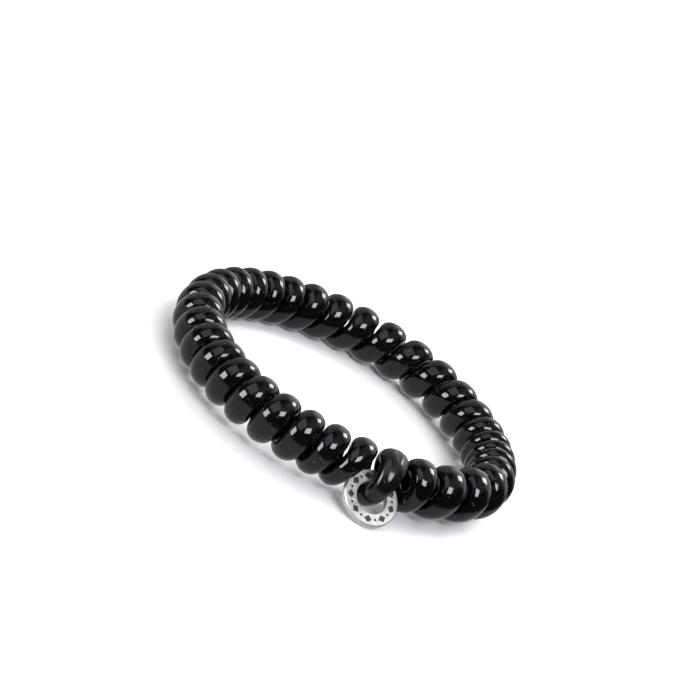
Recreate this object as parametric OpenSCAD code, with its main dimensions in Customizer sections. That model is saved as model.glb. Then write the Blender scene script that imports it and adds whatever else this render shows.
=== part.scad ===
// Spiral hair tie: one elastic strand wound as a helix whose axis is bent round into a closed,
// slightly oval ring, with a small steel ring threaded on one of its turns.
// The tie lies flat, apart from the steel ring, whose rim reaches lower than the coil and props it up.
// The ring is centred on the Z axis. Turn 0 is the one in the steel ring.
// The turns count clockwise from above.

/* [Ring] */
// Mean radius of the ring, to the middle of the coil
ring_r = 24.7; // [22:0.1:30]
// Turns of the coil round the ring
turns = 35; // [30:1:38]

/* [Coil] */
// Height of the coil
coil_h = 8.4; // [7.6:0.1:10]
// Depth of the coil, from the inside of the ring to the outside
coil_w = 7.4; // [6.8:0.1:9]
// Thickness of the strand, through the skin of the coil
strand_t = 3; // [2.4:0.1:3.3]
// Width of the strand along the coil, where nothing presses on it
strand_w = 4.6; // [3.4:0.1:5]
// Least gap between two turns
turn_gap = 0.1; // [0.05:0.05:0.5]

/* [Charm] */
// Thickness of the charm ring
charm_t = 1; // [0.8:0.1:1.2]
// Width of the charm ring's face, from the hole to the rim
charm_face = 1.9; // [1.5:0.05:2.1]
// Room round the strand in the hole of the charm ring
charm_play = 0.8; // [0.65:0.05:0.95]
// Chamfer of the charm ring's edges
charm_edge = 0.15; // [0.05:0.05:0.25]
// Pairs of marks round the face, a lozenge and a dot in each
mark_pairs = 9; // [4:1:9]
// Length of a lozenge mark, along the face
lozenge_l = 1.3; // [0.8:0.1:1.4]
// Width of a lozenge mark, across the face
lozenge_w = 1.1; // [0.5:0.05:1.2]
// Diameter of a dot mark
dot_d = 0.4; // [0.2:0.05:0.5]
// Depth of the marks
mark_depth = 0.25; // [0.1:0.05:0.3]
// Gap round the filling of a mark
fill_gap = 0.03; // [0.02:0.01:0.05]

/* [Hidden] */

// Outline of the ring from above: lobes, swell as a share of ring_r, direction of one lobe
ring_shape = [
    [2, 0.010, 30],
    [3, 0.017, 106],
    [4, 0.013, 77],
];

// Spacing of the turns: share of the turns counted from the charm, share of the mean spacing
crowding = [
    [0.00, 1.12],
    [0.07, 0.93],
    [0.16, 0.90],
    [0.27, 1.01],
    [0.41, 0.89],
    [0.55, 1.05],
    [0.68, 1.21],
    [0.81, 0.63],
    [0.93, 1.24],
    [1.00, 1.12],
];

// Direction of turn 0 from the middle of the ring
start_at = -61.7;
// How far the top of each turn leans back from its bottom
lean = -5.6;
// How far the outer side of each turn runs ahead of its inner side, and how that swings round the ring
slant = 12;
slant_swing = 3;
slant_swing_at = 0.64;
// How softly the strand's width gives way where turns crowd
press = 0.15;

// Where the charm sits: turns from the top of turn 0, down its outer side
charm_at = 0.36;
// How far the charm hangs out from the middle of the strand, and how it tips out and turns
charm_out = 0.5;
charm_tip = -0.6;
charm_turn = -15.4;
// How far the charm pulls its turn out of the coil
charm_pull = 0.9;
// Room for the charm beside the strands next to it
charm_room = 0.75;
// Bends that make this room: turns from the charm, share of bow_side that the strand moves along the ring
bends = [
    [-1, -0.3],
    [0, 0.4],
    [1, 1],
    [2, 0.3],
];
// Reach of these bends, and of the strand's narrowing beside the charm, in turns
bow_reach = 0.25;

// Mesh: sections in a turn and sides of the strand
turn_steps = 12;
sides = 12;
steps = turns * turn_steps;

// The helix that the middle of the strand follows
helix_h = (coil_h - strand_t) / 2;
helix_w = (coil_w - strand_t) / 2;

function unit(a) = a / norm(a);
function between(a, b, t) = a + (b - a) * t;
function bump(x) = exp(-pow(x / bow_reach, 2));
function softer_min(a, b) = (a + b - sqrt(pow(a - b, 2) + pow(press, 2))) / 2;
function rotated(p, a) = [p.x * cos(a) - p.y * sin(a), p.x * sin(a) + p.y * cos(a), p.z];

// Spacing of the turns at a share of them, eased from row to row of the table
function crowd_row(share, row = 0) = share < crowding[row + 1][0] ? row : crowd_row(share, row + 1);
function crowd(share) =
    let (
        row = crowd_row(share),
        low = crowding[row],
        high = crowding[row + 1],
        t = (share - low[0]) / (high[0] - low[0])
    )
    between(low[1], high[1], (1 - cos(180 * t)) / 2);

// Sums of the spacing up to each section, so that the turns close the ring
crowd_sums = [
    for (i = 0, sum = 0; i <= steps; sum = sum + crowd(i / steps - floor(i / steps)), i = i + 1)
        sum
];
crowd_mean = crowd_sums[steps] / steps;

// The charm, and what the turns give way for it
hole_r = strand_t / 2 + charm_play;
charm_r = hole_r + charm_face;
charm_spacing = 2 * PI * ring_r / turns * crowding[0][1] / crowd_mean;
bow_side = max(0, charm_r + strand_t / 2 + charm_room - charm_spacing);

function round_share(tau) =
    let (
        turn = tau / turns,
        whole = floor(turn),
        at = (turn - whole) * steps,
        low = floor(at)
    )
    whole + between(crowd_sums[low], crowd_sums[min(low + 1, steps)], at - low) / crowd_sums[steps];

// The ring's centre line at an angle: its radius as a share of ring_r, the slope of that, a point
// and the way out
function lobe_angle(a, row) = ring_shape[row][0] * (a - ring_shape[row][2]);
function swell(a, row = 0) =
    row == len(ring_shape) ? 1
        : ring_shape[row][1] * cos(lobe_angle(a, row)) + swell(a, row + 1);
function swell_slope(a, row = 0) =
    row == len(ring_shape) ? 0
        : -ring_shape[row][0] * ring_shape[row][1] * sin(lobe_angle(a, row)) + swell_slope(a, row + 1);
function ring_point(a) = ring_r * swell(a) * [cos(a), sin(a), 0];
function ring_out(a) = unit([
    swell_slope(a) * sin(a) + swell(a) * cos(a),
    -swell_slope(a) * cos(a) + swell(a) * sin(a),
    0
]);

// Turns from the charm, counted the short way round
function from_charm(tau) =
    let (k = tau - charm_at + turns / 2)
    k - turns * floor(k / turns) - turns / 2;

// How far the strand moves along the ring at k turns from the charm
function aside(k, row = 0) =
    row == len(bends) ? 0 : bends[row][1] * bow_side * bump(k - bends[row][0]) + aside(k, row + 1);

// Middle of the strand after tau turns. At whole turns it is on top of the coil, and then it goes down
// the outer side.
function strand_point(tau) =
    let (
        a = start_at - 360 * round_share(tau),
        out = ring_out(a),
        along = [-out.y, out.x, 0],
        phase = 90 - 360 * tau,
        slant_here = slant + slant_swing * cos(360 * (tau / turns - slant_swing_at)),
        skew = helix_h * tan(lean) * sin(phase) + helix_w * tan(slant_here) * cos(phase),
        k = from_charm(tau),
        away = charm_pull * bump(k),
        side = (helix_w + away) * cos(phase),
        rise = (helix_h + away) * sin(phase)
    )
    ring_point(a) + side * out + (skew - aside(k)) * along + [0, 0, coil_h / 2 + rise];

// Directions of the strand's section: along the strand, and out of the coil's core
function strand_along(tau) = unit(strand_point(tau + 0.01) - strand_point(tau - 0.01));
function strand_outward(tau) =
    let (
        out = ring_out(start_at - 360 * round_share(tau)),
        phase = 90 - 360 * tau,
        along = strand_along(tau),
        u = cos(phase) * out + [0, 0, sin(phase)]
    )
    unit(u - (u * along) * along);

function gap_across(step, along) = norm(step - (step * along) * along);

// Half of the strand's width: pressed flat between crowded turns, and drawn narrow where it meets the charm
function half_width(tau, along) =
    let (
        here = strand_point(tau),
        near = min(
            gap_across(strand_point(tau + 1) - here, along),
            gap_across(strand_point(tau - 1) - here, along)
        ),
        free = softer_min(strand_w / 2, (near - turn_gap) / 2),
        k = from_charm(tau),
        narrow = bump(k - 1) + bump(k) + bump(k + 1)
    )
    between(free, min(free, strand_t / 2), narrow);

// One oval section of the strand
function section(tau) =
    let (
        middle = strand_point(tau),
        along = strand_along(tau),
        outward = strand_outward(tau),
        sideways = cross(along, outward),
        half = half_width(tau, along)
    )
    [for (i = [0 : sides - 1])
        middle + strand_t / 2 * cos(360 * i / sides) * outward + half * sin(360 * i / sides) * sideways];

coil_points = [for (i = [0 : steps - 1]) each section(i / turn_steps)];

function side_faces(i, j) =
    let (
        next_i = (i + 1) % steps,
        next_j = (j + 1) % sides,
        a = i * sides + j,
        b = i * sides + next_j,
        c = next_i * sides + next_j,
        d = next_i * sides + j
    )
    [[a, d, c], [a, c, b]];

// The charm: the middle of its hole and the way its face looks
charm_along = strand_along(charm_at);
charm_outward = strand_outward(charm_at);
charm_mid = strand_point(charm_at) + charm_out * charm_outward;
charm_sideways = cross(charm_along, charm_outward);
charm_faces = -unit(charm_along + tan(charm_tip) * charm_outward + tan(charm_turn) * charm_sideways);

// How the tie rests: the charm's rim is its foot, and the turns across the ring are the other support
foot_drop = charm_r * sqrt(1 - pow(charm_faces.z, 2)) + charm_t / 2 * abs(charm_faces.z) - charm_mid.z;
foot_at = atan2(charm_mid.y, charm_mid.x);
foot_span = norm([charm_mid.x, charm_mid.y]) + ring_r;
rest_tilt = asin(max(0, foot_drop) / foot_span);

function tilted(p) =
    let (
        q = rotated(p, -foot_at),
        x = q.x * cos(rest_tilt) - q.z * sin(rest_tilt),
        z = q.x * sin(rest_tilt) + q.z * cos(rest_tilt)
    )
    rotated([x, q.y, z], foot_at);

rest_lift = -min([for (p = coil_points) tilted(p).z]);

module as_it_rests() {
    translate([0, 0, rest_lift])
        rotate([0, 0, foot_at])
            rotate([0, -rest_tilt, 0])
                rotate([0, 0, -foot_at])
                    children();
}

module at_charm() {
    as_it_rests()
        translate(charm_mid)
            rotate([0, acos(charm_faces.z), atan2(charm_faces.y, charm_faces.x)])
                children();
}

// One mark of each pair round the face, drawn as flat shapes that shrink by the given gap
module lozenges(gap) {
    long = lozenge_l / 2;
    wide = lozenge_w / 2;
    inset = gap * norm([long, wide]);
    for (i = [0 : mark_pairs - 1])
        rotate([0, 0, 360 * i / mark_pairs])
            translate([hole_r + charm_face / 2, 0])
                polygon([
                    [wide - inset / long, 0],
                    [0, long - inset / wide],
                    [-wide + inset / long, 0],
                    [0, -long + inset / wide]
                ]);
}

module dots(gap) {
    for (i = [0 : mark_pairs - 1])
        rotate([0, 0, 360 * (i + 0.5) / mark_pairs])
            translate([hole_r + charm_face / 2, 0])
                circle(d = dot_d - 2 * gap, $fn = 24);
}

module coil() {
    color("#151416")
        as_it_rests()
            polyhedron(
                points = coil_points,
                faces = [for (i = [0 : steps - 1]) for (j = [0 : sides - 1]) each side_faces(i, j)],
                convexity = 10
            );
}

module charm_ring() {
    half = charm_t / 2;
    color("#d8d6d3")
        at_charm()
            difference() {
                rotate_extrude($fn = 96)
                    polygon([
                        [hole_r, -half + charm_edge],
                        [hole_r + charm_edge, -half],
                        [charm_r - charm_edge, -half],
                        [charm_r, -half + charm_edge],
                        [charm_r, half - charm_edge],
                        [charm_r - charm_edge, half],
                        [hole_r + charm_edge, half],
                        [hole_r, half - charm_edge]
                    ]);
                translate([0, 0, half - mark_depth])
                    linear_extrude(height = 2 * mark_depth) {
                        lozenges(0);
                        dots(0);
                    }
            }
}

module charm_inlay() {
    color("#2a292b")
        at_charm()
            translate([0, 0, charm_t / 2 - mark_depth + fill_gap])
                linear_extrude(height = mark_depth - 2 * fill_gap) {
                    lozenges(fill_gap);
                    dots(fill_gap);
                }
}

coil();
charm_ring();
charm_inlay();
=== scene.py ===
"""A spiral hair tie: a black elastic coil closed into a ring, with a small steel ring on one turn."""
import math

import bpy
import numpy as np
from mathutils import Matrix, Vector


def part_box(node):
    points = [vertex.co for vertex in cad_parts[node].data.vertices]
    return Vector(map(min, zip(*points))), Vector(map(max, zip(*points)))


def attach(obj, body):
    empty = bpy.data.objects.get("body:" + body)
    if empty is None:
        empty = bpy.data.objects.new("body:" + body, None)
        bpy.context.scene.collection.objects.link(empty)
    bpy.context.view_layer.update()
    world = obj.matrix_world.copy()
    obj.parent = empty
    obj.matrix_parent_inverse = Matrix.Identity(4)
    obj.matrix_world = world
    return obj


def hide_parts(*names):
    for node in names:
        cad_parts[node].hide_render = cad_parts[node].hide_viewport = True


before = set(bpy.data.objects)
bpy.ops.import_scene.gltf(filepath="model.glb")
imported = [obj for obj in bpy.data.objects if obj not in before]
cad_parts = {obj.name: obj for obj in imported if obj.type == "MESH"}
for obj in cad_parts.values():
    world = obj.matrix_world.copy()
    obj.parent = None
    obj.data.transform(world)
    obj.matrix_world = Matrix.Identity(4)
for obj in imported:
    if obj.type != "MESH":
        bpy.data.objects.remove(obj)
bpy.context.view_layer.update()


# The coil.
# One strand of black thermoplastic elastomer, extruded, wound hot round a rod and set, so that it springs
# back as a helix. The coil's axis is bent round into a ring, and the strand's two ends are melted together.

# A millimetre in metres, which Blender works in
MM = 0.001
# In millimetres and degrees, as in the solid that this replaces
RING_R = 24.7
TURNS = 35
COIL_H = 8.4
COIL_W = 7.4
STRAND_T = 3.0
STRAND_W = 4.6
TURN_GAP = 0.1
# The ring from above: lobes, swell as a share of RING_R, direction of one lobe
RING_SHAPE = ((2, 0.010, 30), (3, 0.017, 106), (4, 0.013, 77))
# Spacing of the turns: share of the turns counted from the charm, share of the mean spacing
CROWDING = ((0.00, 1.12), (0.07, 0.93), (0.16, 0.90), (0.27, 1.01), (0.41, 0.89),
            (0.55, 1.05), (0.68, 1.21), (0.81, 0.63), (0.93, 1.24), (1.00, 1.12))
# Direction of turn 0 from the middle of the ring
START_AT = -61.7
# How far the top of each turn leans back from its bottom
LEAN = -5.6
# How far the outer side of each turn runs ahead of its inner side, and how that swings round the ring
SLANT = 12.0
SLANT_SWING = 3.0
SLANT_SWING_AT = 0.64
# How softly the strand's width gives way where turns crowd
PRESS = 0.15
# The charm: its thickness, the width of its face, and the room round the strand in its hole
CHARM_T = 1.0
CHARM_FACE = 1.9
CHARM_PLAY = 0.8
# Where it sits: turns from the top of turn 0, how far out of the strand's middle, its tip and its turn
CHARM_AT = 0.36
CHARM_OUT = 0.5
CHARM_TIP = -0.6
CHARM_TURN = -15.4
# How far it pulls its turn out of the coil, and the room that it needs beside the strands next to it
CHARM_PULL = 0.9
CHARM_ROOM = 0.75
# Bends that make this room: turns from the charm, share of BOW_SIDE that the strand moves along the ring
BENDS = ((-1, -0.3), (0, 0.4), (1, 1), (2, 0.3))
# Share of a turn in which a bend fades
BOW_REACH = 0.25
# The joint on top of turn 0, in turns: its middle, and how far its pressed satin skin reaches
JOINT_AT = 0.04
JOINT_REACH = 0.22
# The solid has 12 sections in a turn, and the spacing table is summed over them
SOLID_STEPS = 12
# The mesh here: sections in a turn and points round the strand
TURN_STEPS = 64
ROUND_STEPS = 40

# Half of the height and depth of the strand's path round the coil's axis, and the charm's outer radius
HELIX_H = (COIL_H - STRAND_T) / 2
HELIX_W = (COIL_W - STRAND_T) / 2
CHARM_R = STRAND_T / 2 + CHARM_PLAY + CHARM_FACE


def cosd(degrees):
    """Cosine of an angle in degrees."""
    return np.cos(np.radians(degrees))


def sind(degrees):
    """Sine of an angle in degrees."""
    return np.sin(np.radians(degrees))


def unit(vectors):
    """Each vector divided by its length."""
    return vectors / np.linalg.norm(vectors, axis=-1, keepdims=True)


def square_to(vectors, along):
    """The part of each vector that is square to the direction along."""
    return vectors - (vectors * along).sum(-1, keepdims=True) * along


def hump(x, reach):
    """A smooth hump of height 1 that falls off as exp(-(x / reach) squared)."""
    return np.exp(-(x / reach) ** 2)


def crowd(share):
    """Spacing of the turns at a share of them: the table's rows joined by half cosine waves."""
    stations, spacings = np.array(CROWDING).T
    row = np.clip(np.searchsorted(stations, share, side="right") - 1, 0, len(stations) - 2)
    t = (share - stations[row]) / (stations[row + 1] - stations[row])
    return spacings[row] + (spacings[row + 1] - spacings[row]) * (1 - np.cos(np.pi * t)) / 2


solid_sections = TURNS * SOLID_STEPS
crowd_sums = np.concatenate(([0], np.cumsum(crowd(np.arange(solid_sections) / solid_sections))))
# The room that the spacing at the charm lacks, which the turns beside it make by bowing away
charm_spacing = 2 * np.pi * RING_R / TURNS * CROWDING[0][1] / (crowd_sums[-1] / solid_sections)
BOW_SIDE = max(0, CHARM_R + STRAND_T / 2 + CHARM_ROOM - charm_spacing)


def ring_angle(tau):
    """Direction, in degrees, of the coil's axis after tau turns: the spacing summed up to there."""
    turn = tau / TURNS
    whole = np.floor(turn)
    at = (turn - whole) * solid_sections
    share = whole + np.interp(at, np.arange(solid_sections + 1), crowd_sums) / crowd_sums[-1]
    return START_AT - 360 * share


def ring_curve(angle):
    """The coil's axis and its outward normal: a circle swelled by a few cosine lobes of the angle."""
    swell = 1 + sum(size * cosd(lobes * (angle - at)) for lobes, size, at in RING_SHAPE)
    slope = -sum(lobes * size * sind(lobes * (angle - at)) for lobes, size, at in RING_SHAPE)
    flat = 0 * angle
    point = RING_R * np.stack([swell * cosd(angle), swell * sind(angle), flat], -1)
    out = unit(np.stack([slope * sind(angle) + swell * cosd(angle),
                         -slope * cosd(angle) + swell * sind(angle), flat], -1))
    return point, out


def from_charm(tau):
    """Turns from the charm, counted the short way round."""
    k = tau - CHARM_AT + TURNS / 2
    return k - TURNS * np.floor(k / TURNS) - TURNS / 2


def strand_point(tau):
    """Middle of the strand after tau turns: an oval path round the coil's axis, leaning and slanting
    along the ring, with smooth bends that make room for the charm on the turns beside it."""
    point, out = ring_curve(ring_angle(tau))
    along = np.stack([-out[:, 1], out[:, 0], out[:, 2]], -1)
    phase = 90 - 360 * tau
    slant = SLANT + SLANT_SWING * cosd(360 * (tau / TURNS - SLANT_SWING_AT))
    lean_by = HELIX_H * np.tan(np.radians(LEAN)) * sind(phase)
    slant_by = HELIX_W * np.tan(np.radians(slant)) * cosd(phase)
    k = from_charm(tau)
    skew = lean_by + slant_by - sum(share * BOW_SIDE * hump(k - turn, BOW_REACH) for turn, share in BENDS)
    away = CHARM_PULL * hump(k, BOW_REACH)
    point = point + ((HELIX_W + away) * cosd(phase))[:, None] * out + skew[:, None] * along
    point[:, 2] += COIL_H / 2 + (HELIX_H + away) * sind(phase)
    return point


def strand_frame(tau):
    """Middle of the strand, the direction along it, from the points a little way back and ahead, and the
    direction out of the coil's core, made square to it."""
    step = 0.01
    middle = strand_point(tau)
    along = unit(strand_point(tau + step) - strand_point(tau - step))
    _, out = ring_curve(ring_angle(tau))
    phase = 90 - 360 * tau
    outward = cosd(phase)[:, None] * out + sind(phase)[:, None] * np.array([0, 0, 1])
    return middle, along, unit(square_to(outward, along))


def half_width(tau, middle, along):
    """Half of the strand's width: the smaller of half its free width and half the room to the nearer of
    the turns beside it, with PRESS to soften the change, and drawn narrow by the charm."""
    gaps = [np.linalg.norm(square_to(strand_point(tau + turn) - middle, along), axis=-1) for turn in (-1, 1)]
    room = (np.minimum(*gaps) - TURN_GAP) / 2
    width = (STRAND_W / 2 + room - np.sqrt((STRAND_W / 2 - room) ** 2 + PRESS ** 2)) / 2
    narrow = sum(hump(from_charm(tau) - turn, BOW_REACH) for turn in (-1, 0, 1))
    return width + (np.minimum(width, STRAND_T / 2) - width) * narrow


def rest_turn():
    """The rotation that lays the tie down, on the charm's rim at one side and on the turns across from it.
    The rim's drop below the coil is the charm's radius times the sine of its axis's angle from upright,
    plus half its thickness times the cosine, less the height of its middle. The sine of the tilt is that
    drop divided by the way across."""
    middle, along, outward = (rows[0] for rows in strand_frame(np.array([CHARM_AT])))
    middle = middle + CHARM_OUT * outward
    faces = -unit(along + math.tan(math.radians(CHARM_TIP)) * outward
                  + math.tan(math.radians(CHARM_TURN)) * np.cross(along, outward))
    drop = CHARM_R * math.sqrt(1 - faces[2] ** 2) + CHARM_T / 2 * abs(faces[2]) - middle[2]
    tilt = math.asin(drop / (math.hypot(middle[0], middle[1]) + RING_R))
    to_rim = Matrix.Rotation(math.atan2(middle[1], middle[0]), 3, "Z")
    return np.array(to_rim @ Matrix.Rotation(-tilt, 3, "Y") @ to_rim.transposed())


def tube_of_sections(per_turn, around):
    """Points of the resting strand's skin on a grid: an oval section at each step along the strand, with
    its first point towards the coil's core, where the seam of a pattern doesn't show."""
    tau = np.arange(TURNS * per_turn) / per_turn
    middle, along, outward = strand_frame(tau)
    sideways = np.cross(along, outward)
    angle = 360 * np.arange(around) / around + 180
    wide = half_width(tau, middle, along)[:, None, None] * sideways[:, None]
    points = (middle[:, None] + STRAND_T / 2 * outward[:, None] * cosd(angle)[None, :, None]
              + wide * sind(angle)[None, :, None])
    return points @ rest_turn().T


def closed_tube(name, points, wear):
    """A mesh from a grid of points that closes on itself both ways: face (i, j) joins the points i and
    i + 1 along the strand, j and j + 1 round it. Its UV map runs once along and once round, and its
    attribute called wear holds one value for each section."""
    rows, columns = points.shape[:2]
    cells = np.indices((rows, columns)).reshape(2, -1).T
    corners = cells[:, None] + np.array([(1, 0), (1, 1), (0, 1), (0, 0)])
    wrapped = corners % (rows, columns)
    mesh = bpy.data.meshes.new(name)
    mesh.from_pydata(points.reshape(-1, 3), [], wrapped[..., 0] * columns + wrapped[..., 1])
    uv = mesh.uv_layers.new(name="strand")
    uv.data.foreach_set("uv", (corners / (rows, columns)).ravel())
    attribute = mesh.attributes.new("wear", "FLOAT", "POINT")
    attribute.data.foreach_set("value", np.repeat(wear, columns))
    mesh.polygons.foreach_set("use_smooth", np.ones(len(cells), bool))
    mesh.update()
    obj = bpy.data.objects.new(name, mesh)
    bpy.context.collection.objects.link(obj)
    return obj


# The skin is lifted as far as the solid was, whose lowest point the same formulas give with its few sections
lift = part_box("coil")[0][2] / MM - tube_of_sections(SOLID_STEPS, SOLID_STEPS)[..., 2].min()
skin = tube_of_sections(TURN_STEPS, ROUND_STEPS) + [0, 0, lift]
section_tau = np.arange(TURNS * TURN_STEPS) / TURN_STEPS
from_joint = (section_tau - JOINT_AT + TURNS / 2) % TURNS - TURNS / 2
coil = closed_tube("elastic_coil", skin * MM, hump(from_joint, JOINT_REACH))


def linear(hex_colour):
    """An sRGB hex colour as the linear values that the shader takes."""
    parts = [int(hex_colour[i:i + 2], 16) / 255 for i in (1, 3, 5)]
    return [c / 12.92 if c <= 0.04045 else ((c + 0.055) / 1.055) ** 2.4 for c in parts] + [1]


def add(tree, kind, inputs=None, **settings):
    """A node of that kind. Settings are its properties. Inputs are values, or outputs to link from."""
    node = tree.nodes.new("ShaderNode" + kind)
    for name, value in settings.items():
        setattr(node, name, value)
    for key, value in (inputs or {}).items():
        if isinstance(value, bpy.types.NodeSocket):
            tree.links.new(value, node.inputs[key])
        else:
            node.inputs[key].default_value = value
    return node


def new_material(name):
    """An empty material, its node tree and its output node."""
    material = bpy.data.materials.new(name)
    material.use_nodes = True
    material.node_tree.nodes.clear()
    return material, material.node_tree, add(material.node_tree, "OutputMaterial")


def glossy_elastomer():
    """Black thermoplastic elastomer as it leaves the die: a wet-looking skin with faint lines drawn along
    the strand and a slow unevenness, so that window lights mirror as soft-edged patches. A few flecks of
    dust lie on it. At the joint it is satin, with a few ridges pressed along the strand."""
    material, tree, output = new_material("glossy_elastomer")
    # The way along the strand, taken as so many ovals, and the way round it
    strand_length = 2 * math.pi * math.hypot(HELIX_H, HELIX_W) / math.sqrt(2) * TURNS
    strand_round = math.pi * (STRAND_T + STRAND_W) / 2
    # Millimetres: width and length of a line and of a ridge, and widths of the patterns that run all ways.
    # The real lines and grain are finer, and would not show
    die_line = 0.35
    drawn_length = 6.0
    pressed_ridge = 1.3
    pressed_length = 5.0
    uneven = 1.6
    satin_grain = 0.12
    dust_fleck = 0.3

    # Lines and ridges follow the strand
    uv = add(tree, "UVMap", uv_map="strand").outputs["UV"]
    line_scale = (strand_length / drawn_length, strand_round / die_line, 1)
    lines_at = add(tree, "Mapping", {"Vector": uv, "Scale": line_scale})
    lines = add(tree, "TexNoise", {"Vector": lines_at.outputs["Vector"], "Scale": 1, "Detail": 3})
    ridge_scale = (strand_length / pressed_length, strand_round / pressed_ridge, 1)
    ridges_at = add(tree, "Mapping", {"Vector": uv, "Scale": ridge_scale})
    ridges = add(tree, "TexNoise", {"Vector": ridges_at.outputs["Vector"], "Scale": 1, "Detail": 1})

    # Unevenness, grain and dust run all ways
    here = add(tree, "TexCoord").outputs["Object"]
    slow = add(tree, "TexNoise", {"Vector": here, "Scale": 1 / (uneven * MM), "Detail": 2})
    grain = add(tree, "TexNoise", {"Vector": here, "Scale": 1 / (satin_grain * MM), "Detail": 4,
                                   "Roughness": 0.6})
    flecks = add(tree, "TexNoise", {"Vector": here, "Scale": 1 / (dust_fleck * MM), "Detail": 2})
    joint = add(tree, "Attribute", attribute_name="wear").outputs["Fac"]

    # Gloss: a little uneven, and satin at the joint
    patchy = add(tree, "MapRange", {"Value": slow.outputs["Fac"], "From Min": 0.35, "From Max": 0.65,
                                    "To Min": 0.05, "To Max": 0.08})
    satin = add(tree, "Math", {0: joint, 1: 0.2}, operation="MULTIPLY")
    roughness = add(tree, "Math", {0: patchy.outputs["Result"], 1: satin.outputs["Value"]}, operation="ADD")

    # Colour: black, greyer at the joint, and pale where the highest peaks of a noise set a fleck of dust
    black = add(tree, "Mix", {"Factor": joint, "A": linear("#060506"), "B": linear("#0d0c0e")},
                data_type="RGBA")
    dust = add(tree, "MapRange", {"Value": flecks.outputs["Fac"], "From Min": 0.69, "From Max": 0.76,
                                  "To Max": 0.4})
    dusty = add(tree, "Mix", {"Factor": dust.outputs["Result"], "A": black.outputs["Result"],
                              "B": linear("#8a867c")}, data_type="RGBA")

    # Relief: each pattern with its strength and its height in millimetres, laid over the one before
    normal = {}
    for pattern, strength, height in ((lines, 0.25, 0.01), (slow, 0.7, 0.05), (ridges, joint, 0.35),
                                      (grain, joint, 0.006)):
        relief = add(tree, "Bump", {"Strength": strength, "Distance": height * MM,
                                    "Height": pattern.outputs["Fac"], **normal})
        normal = {"Normal": relief.outputs["Normal"]}
    shader = add(tree, "BsdfPrincipled", {"Base Color": dusty.outputs["Result"], "IOR": 1.5,
                                          "Roughness": roughness.outputs["Value"], **normal})
    tree.links.new(shader.outputs["BSDF"], output.inputs["Surface"])
    return material


coil.data.materials.append(glossy_elastomer())
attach(coil, "root")
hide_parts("coil")


# The charm.
# A thick flat washer of stainless steel, turned, tumbled and polished, with marks pressed into its face.
# It is threaded on turn 0 before the strand's ends are joined, and hangs there loosely.

# Millimetres, and in degrees the least angle of an edge that is rounded
WELD_WITHIN = 0.001
EDGE_ROUNDING = 0.05
EDGE_ANGLE = 30


def merged_copy(node, name):
    """A copy of a CAD node's mesh without its material, and with its loose triangles joined, so that it
    shades as one surface and its edges can be rounded."""
    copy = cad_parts[node].copy()
    copy.data = copy.data.copy()
    copy.name = name
    copy.data.name = name
    copy.data.materials.clear()
    bpy.context.collection.objects.link(copy)
    weld = copy.modifiers.new("join", "WELD")
    weld.merge_threshold = WELD_WITHIN * MM
    return copy


def polished_steel():
    """Stainless steel, turned and then tumbled: fine marks soften its reflections, so that it gathers the
    room's light into a pale even sheen."""
    material, tree, output = new_material("polished_steel")
    # Millimetres, across a mark of the tumbling, which is drawn coarse enough to show, and a duller cloud
    mark = 0.09
    cloud = 1.2
    here = add(tree, "TexCoord").outputs["Object"]
    fine = add(tree, "TexNoise", {"Vector": here, "Scale": 1 / (mark * MM), "Detail": 4, "Roughness": 0.7})
    clouds = add(tree, "TexNoise", {"Vector": here, "Scale": 1 / (cloud * MM), "Detail": 3})
    roughness = add(tree, "MapRange", {"Value": clouds.outputs["Fac"], "From Min": 0.3, "From Max": 0.7,
                                       "To Min": 0.46, "To Max": 0.56})
    tone = add(tree, "Mix", {"Factor": clouds.outputs["Fac"], "A": linear("#dfddd9"), "B": linear("#eeedea")},
               data_type="RGBA")
    relief = add(tree, "Bump", {"Strength": 0.3, "Distance": 0.004 * MM, "Height": fine.outputs["Fac"]})
    shader = add(tree, "BsdfPrincipled", {"Base Color": tone.outputs["Result"], "Metallic": 1,
                                          "Roughness": roughness.outputs["Result"],
                                          "Normal": relief.outputs["Normal"]})
    tree.links.new(shader.outputs["BSDF"], output.inputs["Surface"])
    return material


charm = merged_copy("charm_ring", "steel_charm")
rounding = charm.modifiers.new("rounding", "BEVEL")
rounding.width = EDGE_ROUNDING * MM
rounding.segments = 3
rounding.limit_method = "ANGLE"
rounding.angle_limit = math.radians(EDGE_ANGLE)
charm.data.polygons.foreach_set("use_smooth", np.ones(len(charm.data.polygons), bool))
charm.data.materials.append(polished_steel())
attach(charm, "root")
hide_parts("charm_ring")


# The filling of the charm's marks.
# Black stove enamel, wiped into the pressed marks and off the face, so that it lies in them and shows
# them dark against the steel.

def stove_enamel():
    """Black enamel dried in a recess: dark, slightly uneven, and nearly matt."""
    material, tree, output = new_material("stove_enamel")
    # Millimetres, across a speck
    speck = 0.15
    here = add(tree, "TexCoord").outputs["Object"]
    specks = add(tree, "TexNoise", {"Vector": here, "Scale": 1 / (speck * MM), "Detail": 4})
    tone = add(tree, "Mix", {"Factor": specks.outputs["Fac"], "A": linear("#1c1b1d"), "B": linear("#3b393b")},
               data_type="RGBA")
    relief = add(tree, "Bump", {"Strength": 0.6, "Distance": 0.01 * MM, "Height": specks.outputs["Fac"]})
    shader = add(tree, "BsdfPrincipled", {"Base Color": tone.outputs["Result"], "Roughness": 0.6,
                                          "Normal": relief.outputs["Normal"]})
    tree.links.new(shader.outputs["BSDF"], output.inputs["Surface"])
    return material


filling = merged_copy("charm_inlay", "charm_filling")
filling.data.materials.append(stove_enamel())
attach(filling, "root")
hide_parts("charm_inlay")


# The studio.
# A plain pale floor, soft window lights whose mirror images show on every turn of the coil, and a camera
# that looks down on the tie and is rolled, as the photograph was turned.

# Metres: the floor's side, and how far the lights stand from the tie
FLOOR_SIZE = 8.0
WINDOW_DISTANCE = 1.2


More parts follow.
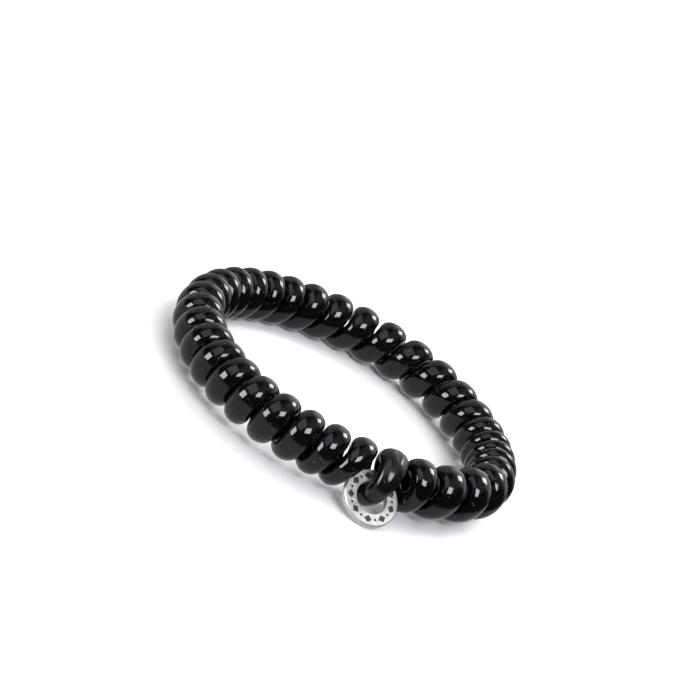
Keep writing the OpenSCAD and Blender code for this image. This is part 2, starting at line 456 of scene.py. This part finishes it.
def matt_white_paper():
    """Backdrop paper: pale and even, with hardly any gloss."""
    material, tree, output = new_material("matt_white_paper")
    shader = add(tree, "BsdfPrincipled", {"Base Color": linear("#ededed"), "Roughness": 0.9,
                                          "Specular IOR Level": 0.1})
    tree.links.new(shader.outputs["BSDF"], output.inputs["Surface"])
    return material


floor_mesh = bpy.data.meshes.new("floor")
floor_corners = [(FLOOR_SIZE / 2 * x, FLOOR_SIZE / 2 * y, 0) for x, y in ((-1, -1), (1, -1), (1, 1), (-1, 1))]
floor_mesh.from_pydata(floor_corners, [], [(0, 1, 2, 3)])
floor_mesh.materials.append(matt_white_paper())
floor = bpy.data.objects.new("floor", floor_mesh)
bpy.context.collection.objects.link(floor)
# The strand mirrors the darker table of dark_room below in place of this floor
floor.visible_glossy = False


def heading(azimuth, elevation):
    """The unit vector towards an azimuth, clockwise from +Y seen from above, and an elevation."""
    return Vector((sind(azimuth) * cosd(elevation), cosd(azimuth) * cosd(elevation), sind(elevation)))


def flat_light(name, place, turned, sizes, radiance, colour):
    """A square-cornered area light of that radiance, so its power is that times pi times its area. It
    shines along its own -Z, after it is turned."""
    data = bpy.data.lights.new(name, "AREA")
    data.shape = "RECTANGLE"
    data.size, data.size_y = sizes
    data.energy = radiance * math.pi * data.size * data.size_y
    data.color = linear(colour)[:3]
    light = bpy.data.objects.new(name, data)
    light.matrix_world = Matrix.Translation(place) @ turned.to_4x4()
    bpy.context.collection.objects.link(light)
    return light


# Name, azimuth, elevation, angle across, angle up, radiance, colour, and whether it shows in reflections.
# The wide overhead panel only lights the floor, because its mirror image would hide the others
WINDOWS = (
    ("softbox_left", -124, 12, 30, 21, 11, "#ffffff", True),
    ("softbox_front", 153, 41, 30, 20, 12, "#f8f5fe", True),
    ("softbox_back", 40, 45, 18, 22, 12, "#ffffff", True),
    ("overhead_panel", 20, 78, 80, 80, 1.3, "#ffffff", False),
)
for name, azimuth, elevation, across, up, radiance, colour, reflected in WINDOWS:
    outward = heading(azimuth, elevation)
    facing = outward.to_track_quat("Z", "Y").to_matrix()
    sizes = [2 * WINDOW_DISTANCE * math.tan(math.radians(angle / 2)) for angle in (across, up)]
    window = flat_light(name, outward * WINDOW_DISTANCE, facing, sizes, radiance, colour)
    window.visible_glossy = reflected

# What the strand mirrors beside the softboxes: a table below, a black room above, and a few dim panels.
# They were fitted to the reflections in the photograph, where the table's edge stands higher on the left
TABLE_GLOW = 0.6
ROOM_GLOW = 0.03
# The table's upright, and the sine of its edge's height along that, with how far the edge fades either way
TABLE_UP = heading(90, 78.5)
TABLE_EDGE = -0.19
TABLE_SOFT = 0.06
# Azimuth, elevation, angle across, angle up, softness of the edge, brightness
PANELS = (
    (-128, 50, 50, 36, 0.08, 1.0),
    (-22, 30, 84, 66, 0.20, 0.4),
    (28, 24, 62, 56, 0.20, 0.8),
    (100, 66, 90, 50, 0.30, 0.3),
)
# A panel shows only to rays that head this far towards it, as the cosine of the angle between them
PANEL_AHEAD = 0.05
# What the camera itself sees above the floor's far edge
BACKDROP = "#f3f3f3"


def dark_room(sky):
    """Brightness of the surroundings by direction: the table's up to its edge, the room's above that, and
    each panel's added. A panel is a rectangle with soft edges, drawn by the ray's slopes across and up."""
    ray = add(sky, "TexCoord").outputs["Generated"]
    height = add(sky, "VectorMath", {0: ray, 1: TABLE_UP}, operation="DOT_PRODUCT")
    ground = add(sky, "MapRange", {"Value": height.outputs["Value"], "From Min": TABLE_EDGE - TABLE_SOFT,
                                   "From Max": TABLE_EDGE + TABLE_SOFT, "To Min": TABLE_GLOW,
                                   "To Max": ROOM_GLOW})
    glow = ground.outputs["Result"]
    for azimuth, elevation, across, up, soft, bright in PANELS:
        depth = add(sky, "VectorMath", {0: ray, 1: heading(azimuth, elevation)}, operation="DOT_PRODUCT")
        inside = add(sky, "Math", {0: depth.outputs["Value"], 1: PANEL_AHEAD}, operation="GREATER_THAN")
        for axis, size in ((heading(azimuth + 90, 0), across), (heading(azimuth, elevation + 90), up)):
            edge = math.tan(math.radians(size / 2))
            reach = add(sky, "VectorMath", {0: ray, 1: axis}, operation="DOT_PRODUCT")
            slope = add(sky, "Math", {0: reach.outputs["Value"], 1: depth.outputs["Value"]},
                        operation="DIVIDE")
            slope = add(sky, "Math", {0: slope.outputs["Value"]}, operation="ABSOLUTE")
            within = add(sky, "MapRange", {"Value": slope.outputs["Value"], "From Min": edge + soft,
                                           "From Max": edge - soft}, interpolation_type="SMOOTHSTEP")
            inside = add(sky, "Math", {0: inside.outputs["Value"], 1: within.outputs["Result"]},
                         operation="MULTIPLY")
        lit = add(sky, "Math", {0: inside.outputs["Value"], 1: bright}, operation="MULTIPLY")
        glow = add(sky, "Math", {0: glow, 1: lit.outputs["Value"]}, operation="ADD").outputs["Value"]
    return glow


world = bpy.data.worlds.new("studio")
world.use_nodes = True
bpy.context.scene.world = world
sky = world.node_tree
sky.nodes.clear()
mirrored = add(sky, "Background", {"Color": linear("#ffffff"), "Strength": dark_room(sky)})
seen = add(sky, "Background", {"Color": linear(BACKDROP), "Strength": 1})
is_camera = add(sky, "LightPath").outputs["Is Camera Ray"]
mixed = add(sky, "MixShader", {0: is_camera, 1: mirrored.outputs["Background"],
                               2: seen.outputs["Background"]})
add(sky, "OutputWorld", {"Surface": mixed.outputs["Shader"]})

# The camera, fitted to the photograph: where it stands in millimetres, where it looks, its roll and lens
CAMERA_AT = (-1.17, -277.62, 119.32)
CAMERA_AZIMUTH = -0.30
CAMERA_DOWN = 21.41
CAMERA_ROLL = 32.13
CAMERA_LENS = 103.46
CAMERA_SENSOR = 36
looks = heading(CAMERA_AZIMUTH, -CAMERA_DOWN)
level = looks.cross(Vector((0, 0, 1))).normalized()
right = Matrix.Rotation(math.radians(-CAMERA_ROLL), 3, looks) @ level
camera_data = bpy.data.cameras.new("camera")
camera_data.lens = CAMERA_LENS
camera_data.sensor_width = CAMERA_SENSOR
# Metres, so that nothing is cut away when the camera stands close
camera_data.clip_start = 0.01
camera = bpy.data.objects.new("camera", camera_data)
camera.matrix_world = (Matrix.Translation(Vector(CAMERA_AT) * MM)
                       @ Matrix((right, right.cross(looks), -looks)).transposed().to_4x4())
bpy.context.collection.objects.link(camera)
bpy.context.scene.camera = camera
bpy.context.scene.view_settings.view_transform = "Standard"
